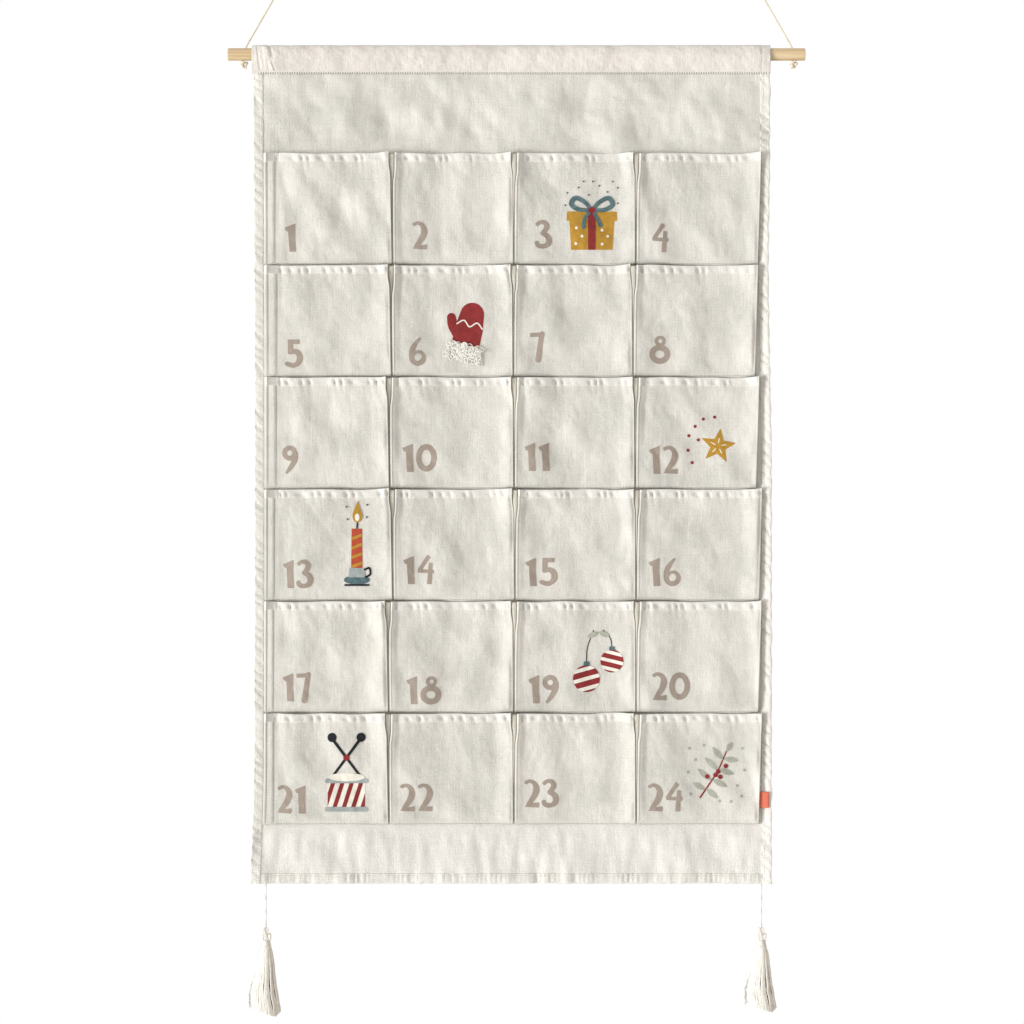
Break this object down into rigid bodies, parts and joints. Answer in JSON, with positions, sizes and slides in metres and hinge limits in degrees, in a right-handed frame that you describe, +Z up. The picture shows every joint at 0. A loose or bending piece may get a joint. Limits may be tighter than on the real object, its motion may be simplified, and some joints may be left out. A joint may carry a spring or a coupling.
{
  "type": "fabric advent calendar",
  "caption": "Cotton wall banner with a grid of numbered pleated pockets, hung from a wooden rod by a cord, with a yarn tassel at each lower corner.",
  "frame": {"origin": "on the rod's axis, halfway along it", "axes": "+X along the rod, +Z up, -Y the side with the pockets"},
  "size_m": [0.558, 0.0196, 1.0102],
  "materials": {
    "cotton_canvas": "matte off-white cotton canvas",
    "pale_wood": "bare pale wood, satin",
    "cream_cord": "matte twisted cotton cord",
    "tassel_yarn": "matte cotton yarn",
    "orange_ribbon": "woven ribbon, slight sheen"
  },
  "bodies": {
    "hanger": {"dowel": "pale_wood", "hanging_cord_left": "cream_cord", "rod_knot_left": "cream_cord", "hanging_loop_left": "cream_cord", "hanging_cord_right": "cream_cord", "rod_knot_right": "cream_cord", "hanging_loop_right": "cream_cord"},
    "sleeve": {"rod_sleeve": "cotton_canvas"},
    "panel": {"backing_panel": "cotton_canvas", "hem_left": "cotton_canvas", "hem_right": "cotton_canvas", "hem_top": "cotton_canvas", "hem_bottom": "cotton_canvas", "label_tab": "orange_ribbon"},
    "pocket_01": {"pocket_01": "cotton_canvas"},
    "pocket_02": {"pocket_02": "cotton_canvas"},
    "pocket_03": {"pocket_03": "cotton_canvas"},
    "pocket_04": {"pocket_04": "cotton_canvas"},
    "pocket_05": {"pocket_05": "cotton_canvas"},
    "pocket_06": {"pocket_06": "cotton_canvas"},
    "pocket_07": {"pocket_07": "cotton_canvas"},
    "pocket_08": {"pocket_08": "cotton_canvas"},
    "pocket_09": {"pocket_09": "cotton_canvas"},
    "pocket_10": {"pocket_10": "cotton_canvas"},
    "pocket_11": {"pocket_11": "cotton_canvas"},
    "pocket_12": {"pocket_12": "cotton_canvas"},
    "pocket_13": {"pocket_13": "cotton_canvas"},
    "pocket_14": {"pocket_14": "cotton_canvas"},
    "pocket_15": {"pocket_15": "cotton_canvas"},
    "pocket_16": {"pocket_16": "cotton_canvas"},
    "pocket_17": {"pocket_17": "cotton_canvas"},
    "pocket_18": {"pocket_18": "cotton_canvas"},
    "pocket_19": {"pocket_19": "cotton_canvas"},
    "pocket_20": {"pocket_20": "cotton_canvas"},
    "pocket_21": {"pocket_21": "cotton_canvas"},
    "pocket_22": {"pocket_22": "cotton_canvas"},
    "pocket_23": {"pocket_23": "cotton_canvas"},
    "pocket_24": {"pocket_24": "cotton_canvas"},
    "tassel_cord_left": {"tassel_cord_left": "cream_cord"},
    "tassel_left": {"tassel_head_left": "tassel_yarn", "tassel_binding_left": "tassel_yarn", "tassel_skirt_left": "tassel_yarn"},
    "tassel_cord_right": {"tassel_cord_right": "cream_cord"},
    "tassel_right": {"tassel_head_right": "tassel_yarn", "tassel_binding_right": "tassel_yarn", "tassel_skirt_right": "tassel_yarn"}
  },
  "joints": [
    {"name": "sleeve_slide", "type": "slide", "parent": "hanger", "child": "sleeve", "axis": [1, 0, 0], "range_m": [-0.004, 0.018]},
    {"name": "panel_swing", "type": "hinge", "parent": "sleeve", "child": "panel", "pos_m": [-0.0048, -0.0021, -0.0174], "axis": [-1, 0, 0], "range_deg": [0, 60]},
    {"name": "pocket_01_open", "type": "hinge", "parent": "panel", "child": "pocket_01", "pos_m": [-0.18235, -0.0006, -0.2034], "axis": [1, 0, 0], "range_deg": [0, 10], "stiffness_Nm_per_rad": 0.05},
    {"name": "pocket_02_open", "type": "hinge", "parent": "panel", "child": "pocket_02", "pos_m": [-0.0604, -0.0006, -0.2034], "axis": [1, 0, 0], "range_deg": [0, 10], "stiffness_Nm_per_rad": 0.05},
    {"name": "pocket_03_open", "type": "hinge", "parent": "panel", "child": "pocket_03", "pos_m": [0.0576, -0.0006, -0.2034], "axis": [1, 0, 0], "range_deg": [0, 10], "stiffness_Nm_per_rad": 0.05},
    {"name": "pocket_04_open", "type": "hinge", "parent": "panel", "child": "pocket_04", "pos_m": [0.17615, -0.0006, -0.2034], "axis": [1, 0, 0], "range_deg": [0, 10], "stiffness_Nm_per_rad": 0.05},
    {"name": "pocket_05_open", "type": "hinge", "parent": "panel", "child": "pocket_05", "pos_m": [-0.18235, -0.0006, -0.3116], "axis": [1, 0, 0], "range_deg": [0, 10], "stiffness_Nm_per_rad": 0.05},
    {"name": "pocket_06_open", "type": "hinge", "parent": "panel", "child": "pocket_06", "pos_m": [-0.0604, -0.0006, -0.3116], "axis": [1, 0, 0], "range_deg": [0, 10], "stiffness_Nm_per_rad": 0.05},
    {"name": "pocket_07_open", "type": "hinge", "parent": "panel", "child": "pocket_07", "pos_m": [0.0576, -0.0006, -0.3116], "axis": [1, 0, 0], "range_deg": [0, 10], "stiffness_Nm_per_rad": 0.05},
    {"name": "pocket_08_open", "type": "hinge", "parent": "panel", "child": "pocket_08", "pos_m": [0.17615, -0.0006, -0.3116], "axis": [1, 0, 0], "range_deg": [0, 10], "stiffness_Nm_per_rad": 0.05},
    {"name": "pocket_09_open", "type": "hinge", "parent": "panel", "child": "pocket_09", "pos_m": [-0.18235, -0.0006, -0.4198], "axis": [1, 0, 0], "range_deg": [0, 10], "stiffness_Nm_per_rad": 0.05},
    {"name": "pocket_10_open", "type": "hinge", "parent": "panel", "child": "pocket_10", "pos_m": [-0.0604, -0.0006, -0.4198], "axis": [1, 0, 0], "range_deg": [0, 10], "stiffness_Nm_per_rad": 0.05},
    {"name": "pocket_11_open", "type": "hinge", "parent": "panel", "child": "pocket_11", "pos_m": [0.0576, -0.0006, -0.4198], "axis": [1, 0, 0], "range_deg": [0, 10], "stiffness_Nm_per_rad": 0.05},
    {"name": "pocket_12_open", "type": "hinge", "parent": "panel", "child": "pocket_12", "pos_m": [0.17615, -0.0006, -0.4198], "axis": [1, 0, 0], "range_deg": [0, 10], "stiffness_Nm_per_rad": 0.05},
    {"name": "pocket_13_open", "type": "hinge", "parent": "panel", "child": "pocket_13", "pos_m": [-0.18235, -0.0006, -0.528], "axis": [1, 0, 0], "range_deg": [0, 10], "stiffness_Nm_per_rad": 0.05},
    {"name": "pocket_14_open", "type": "hinge", "parent": "panel", "child": "pocket_14", "pos_m": [-0.0604, -0.0006, -0.528], "axis": [1, 0, 0], "range_deg": [0, 10], "stiffness_Nm_per_rad": 0.05},
    {"name": "pocket_15_open", "type": "hinge", "parent": "panel", "child": "pocket_15", "pos_m": [0.0576, -0.0006, -0.528], "axis": [1, 0, 0], "range_deg": [0, 10], "stiffness_Nm_per_rad": 0.05},
    {"name": "pocket_16_open", "type": "hinge", "parent": "panel", "child": "pocket_16", "pos_m": [0.17615, -0.0006, -0.528], "axis": [1, 0, 0], "range_deg": [0, 10], "stiffness_Nm_per_rad": 0.05},
    {"name": "pocket_17_open", "type": "hinge", "parent": "panel", "child": "pocket_17", "pos_m": [-0.18235, -0.0006, -0.6362], "axis": [1, 0, 0], "range_deg": [0, 10], "stiffness_Nm_per_rad": 0.05},
    {"name": "pocket_18_open", "type": "hinge", "parent": "panel", "child": "pocket_18", "pos_m": [-0.0604, -0.0006, -0.6362], "axis": [1, 0, 0], "range_deg": [0, 10], "stiffness_Nm_per_rad": 0.05},
    {"name": "pocket_19_open", "type": "hinge", "parent": "panel", "child": "pocket_19", "pos_m": [0.0576, -0.0006, -0.6362], "axis": [1, 0, 0], "range_deg": [0, 10], "stiffness_Nm_per_rad": 0.05},
    {"name": "pocket_20_open", "type": "hinge", "parent": "panel", "child": "pocket_20", "pos_m": [0.17615, -0.0006, -0.6362], "axis": [1, 0, 0], "range_deg": [0, 10], "stiffness_Nm_per_rad": 0.05},
    {"name": "pocket_21_open", "type": "hinge", "parent": "panel", "child": "pocket_21", "pos_m": [-0.18235, -0.0006, -0.7444], "axis": [1, 0, 0], "range_deg": [0, 10], "stiffness_Nm_per_rad": 0.05},
    {"name": "pocket_22_open", "type": "hinge", "parent": "panel", "child": "pocket_22", "pos_m": [-0.0604, -0.0006, -0.7444], "axis": [1, 0, 0], "range_deg": [0, 10], "stiffness_Nm_per_rad": 0.05},
    {"name": "pocket_23_open", "type": "hinge", "parent": "panel", "child": "pocket_23", "pos_m": [0.0576, -0.0006, -0.7444], "axis": [1, 0, 0], "range_deg": [0, 10], "stiffness_Nm_per_rad": 0.05},
    {"name": "pocket_24_open", "type": "hinge", "parent": "panel", "child": "pocket_24", "pos_m": [0.17615, -0.0006, -0.7444], "axis": [1, 0, 0], "range_deg": [0, 10], "stiffness_Nm_per_rad": 0.05},
    {"name": "tassel_cord_left_swing", "type": "hinge", "parent": "panel", "child": "tassel_cord_left", "pos_m": [-0.2425, -0.00075, -0.8017], "axis": [0, 1, 0], "range_deg": [-35, 35]},
    {"name": "tassel_left_swing", "type": "hinge", "parent": "tassel_cord_left", "child": "tassel_left", "pos_m": [-0.2425, -0.00075, -0.8442], "axis": [1, 0, 0], "range_deg": [-60, 60]},
    {"name": "tassel_cord_right_swing", "type": "hinge", "parent": "panel", "child": "tassel_cord_right", "pos_m": [0.2364, -0.00075, -0.8017], "axis": [0, 1, 0], "range_deg": [-35, 35]},
    {"name": "tassel_right_swing", "type": "hinge", "parent": "tassel_cord_right", "child": "tassel_right", "pos_m": [0.2364, -0.00075, -0.8442], "axis": [1, 0, 0], "range_deg": [-60, 60]}
  ]
}
